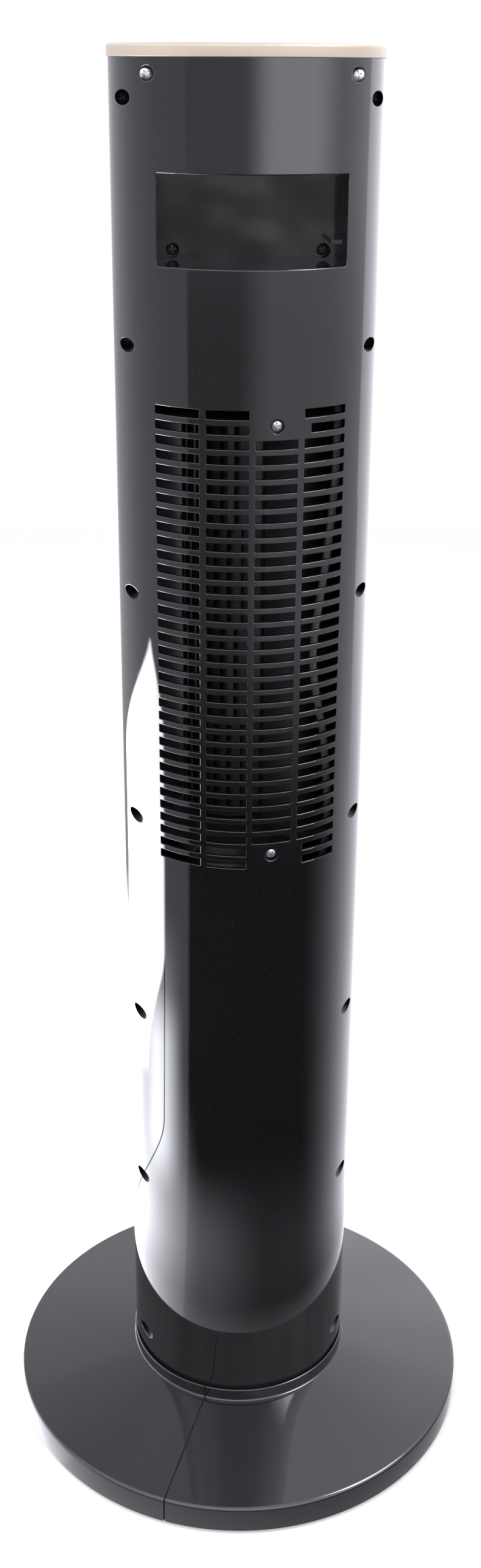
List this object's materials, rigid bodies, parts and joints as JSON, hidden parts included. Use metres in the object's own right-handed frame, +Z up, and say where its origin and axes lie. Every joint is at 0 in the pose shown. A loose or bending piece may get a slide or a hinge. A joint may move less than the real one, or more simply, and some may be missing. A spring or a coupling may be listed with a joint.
{
  "type": "tower fan",
  "caption": "Tall round tower fan with a swinging column, slotted rear shell, handle recess, cross-flow wheel and two-part disc base.",
  "frame": {"origin": "centre of the base on the floor, on the axis the column swings about", "axes": "+Z up along the column; the front with the air outlet and display faces -Y and the slotted rear with the handle faces +Y; the base is turned 21 degrees clockwise seen from above, as parked"},
  "size_m": [0.34, 0.34, 0.9656],
  "materials": {
    "shell_black": "high gloss black",
    "base_black": "high gloss black",
    "cap_champagne": "satin champagne",
    "panel_black": "high gloss black",
    "grille_black": "semi gloss black",
    "button_grey": "fine satin dark grey",
    "window_smoke": "smoked gloss",
    "inner_black": "moulded black",
    "wheel_black": "moulded dark grey",
    "crank_ivory": "natural acetal",
    "screw_steel": "zinc plated",
    "shaft_steel": "ground steel",
    "can_steel": "zinc plated sheet",
    "core_steel": "laminated steel",
    "winding_copper": "enamelled wire",
    "sleeve_bronze": "sintered bronze",
    "soft_rubber": "matt black",
    "board_green": "solder mask",
    "switch_black": "moulded black",
    "digit_red": "diffused red",
    "capacitor_white": "off-white case",
    "loom_sheath": "woven sleeve"
  },
  "bodies": {
    "base": {"base_left": "base_black", "base_right": "base_black", "base_feet": "soft_rubber", "base_screws": "screw_steel", "neck": "inner_black", "slip_ring": "crank_ivory", "cord_clamp": "inner_black", "clamp_screws": "screw_steel"},
    "column": {"column_foot": "inner_black", "hub_retainer": "shaft_steel", "retainer_screws": "screw_steel", "sweep_motor": "can_steel", "sweep_screws": "screw_steel", "rear_shell": "shell_black", "front_shell": "shell_black", "shell_screws": "screw_steel", "front_grille": "grille_black", "handle_cup": "shell_black", "cup_screws": "screw_steel", "top_cap": "cap_champagne", "top_screws": "screw_steel", "control_panel": "panel_black", "control_board": "board_green", "tact_switches": "switch_black", "board_screws": "screw_steel", "display_window": "window_smoke", "display_board": "board_green", "digit_display": "digit_red", "display_screws": "screw_steel", "air_duct": "inner_black", "duct_screws": "screw_steel", "bearing_rubber": "soft_rubber", "bearing_sleeve": "sleeve_bronze", "motor_stator": "core_steel", "motor_windings": "winding_copper", "motor_top_bell": "can_steel", "motor_bottom_bell": "can_steel", "motor_grommets": "soft_rubber", "motor_screws": "screw_steel", "run_capacitor": "capacitor_white", "wiring_loom": "loom_sheath"},
    "crank": {"crank_arm": "crank_ivory", "sweep_shaft": "shaft_steel"},
    "wheel": {"impeller": "wheel_black", "wheel_pin": "shaft_steel", "motor_shaft": "shaft_steel", "motor_rotor": "core_steel"},
    "button_power": {"button_power": "button_grey"},
    "button_speed": {"button_speed": "button_grey"},
    "button_mode": {"button_mode": "button_grey"},
    "button_timer": {"button_timer": "button_grey"},
    "button_swing": {"button_swing": "button_grey"}
  },
  "joints": [
    {"name": "column_swing", "type": "hinge", "parent": "base", "child": "column", "pos_m": [0, 0, 0.05], "axis": [0, 0, 1], "range_deg": [-56, 14]},
    {"name": "crank_turn", "type": "hinge", "parent": "column", "child": "crank", "pos_m": [0, -0.042, 0.04], "axis": [0, 0, 1], "range_deg": [-45, 171]},
    {"name": "wheel_spin", "type": "hinge", "parent": "column", "child": "wheel", "pos_m": [0.008, 0.006, 0.6], "axis": [0, 0, 1], "continuous": true},
    {"name": "press_power", "type": "slide", "parent": "column", "child": "button_power", "axis": [0, 0, -1], "range_m": [0, 0.001], "stiffness_N_per_m": 1200},
    {"name": "press_speed", "type": "slide", "parent": "column", "child": "button_speed", "axis": [0, 0, -1], "range_m": [0, 0.001], "stiffness_N_per_m": 1200},
    {"name": "press_mode", "type": "slide", "parent": "column", "child": "button_mode", "axis": [0, 0, -1], "range_m": [0, 0.001], "stiffness_N_per_m": 1200},
    {"name": "press_timer", "type": "slide", "parent": "column", "child": "button_timer", "axis": [0, 0, -1], "range_m": [0, 0.001], "stiffness_N_per_m": 1200},
    {"name": "press_swing", "type": "slide", "parent": "column", "child": "button_swing", "axis": [0, 0, -1], "range_m": [0, 0.001], "stiffness_N_per_m": 1200}
  ],
  "couplings": [
    {"joint": "crank_turn", "follows": "column_swing", "ratio": -3}
  ]
}
